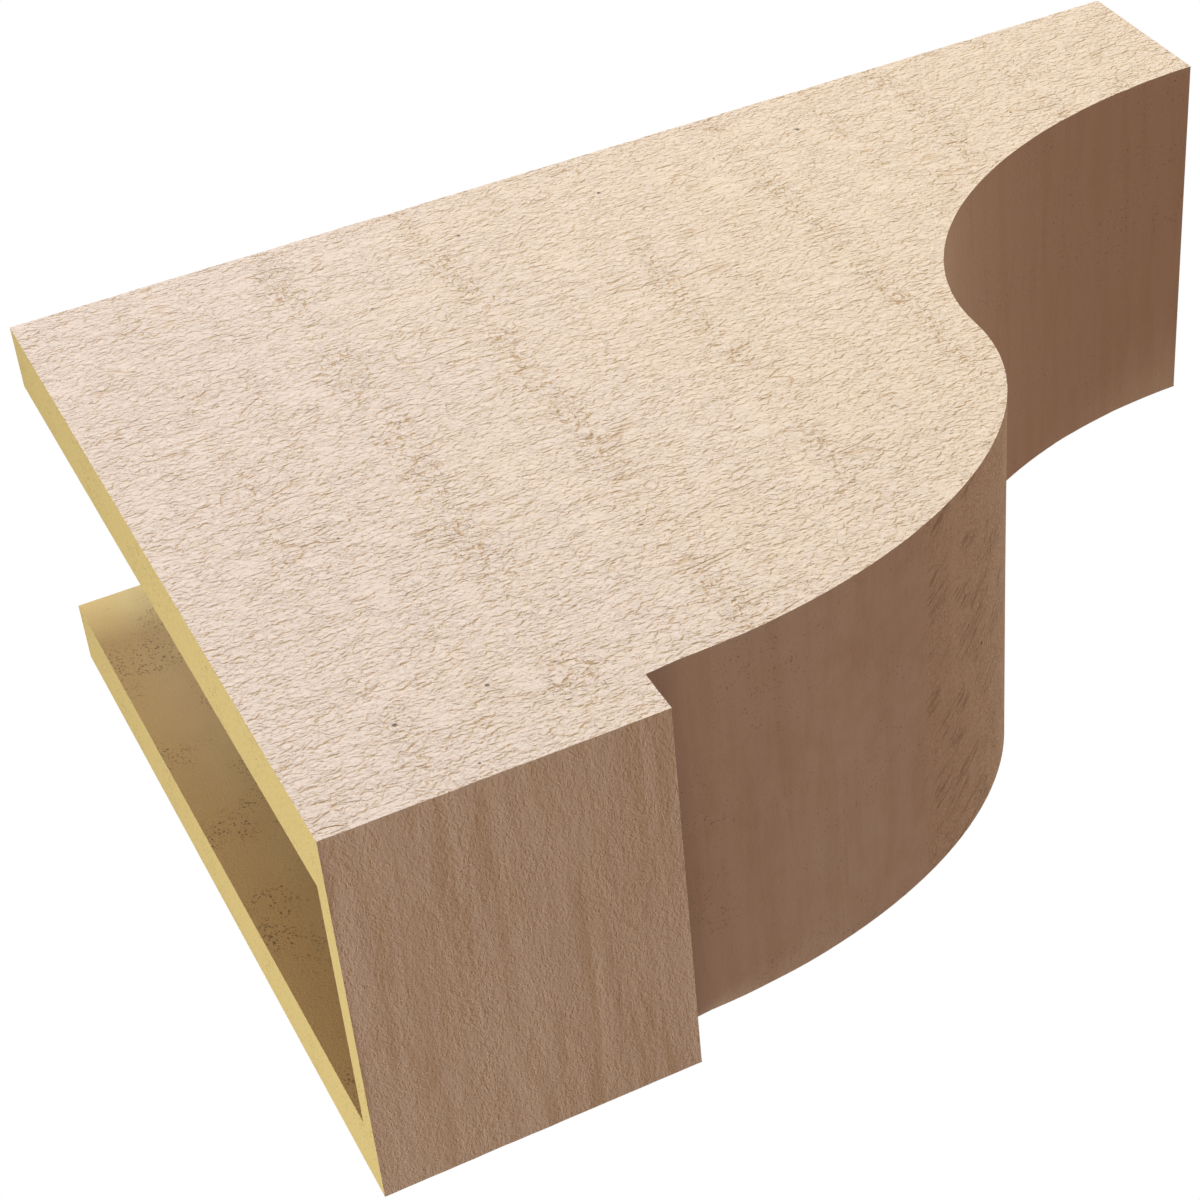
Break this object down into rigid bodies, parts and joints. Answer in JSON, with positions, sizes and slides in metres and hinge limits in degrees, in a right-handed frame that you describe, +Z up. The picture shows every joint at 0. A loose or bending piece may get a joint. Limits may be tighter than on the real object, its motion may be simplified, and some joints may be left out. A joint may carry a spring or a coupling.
{
  "type": "corbel",
  "caption": "Hollow moulded corbel with an ogee front, two thick cheeks and rough-sawn faux timber faces, open at its back and top.",
  "frame": {"origin": "on the wall plane, at the middle of the foot wall's back edge", "axes": "+Y towards the wall that it is fixed to, +Z up to the open top, +X across the width; the front faces -Y"},
  "size_m": [0.1524, 0.3048, 0.4572],
  "materials": {
    "primed_foam": "cream primed skin with rough-sawn timber texture, bare yellow foam on the rims and inside"
  },
  "bodies": {
    "root": {"corbel": "primed_foam"}
  },
  "joints": []
}
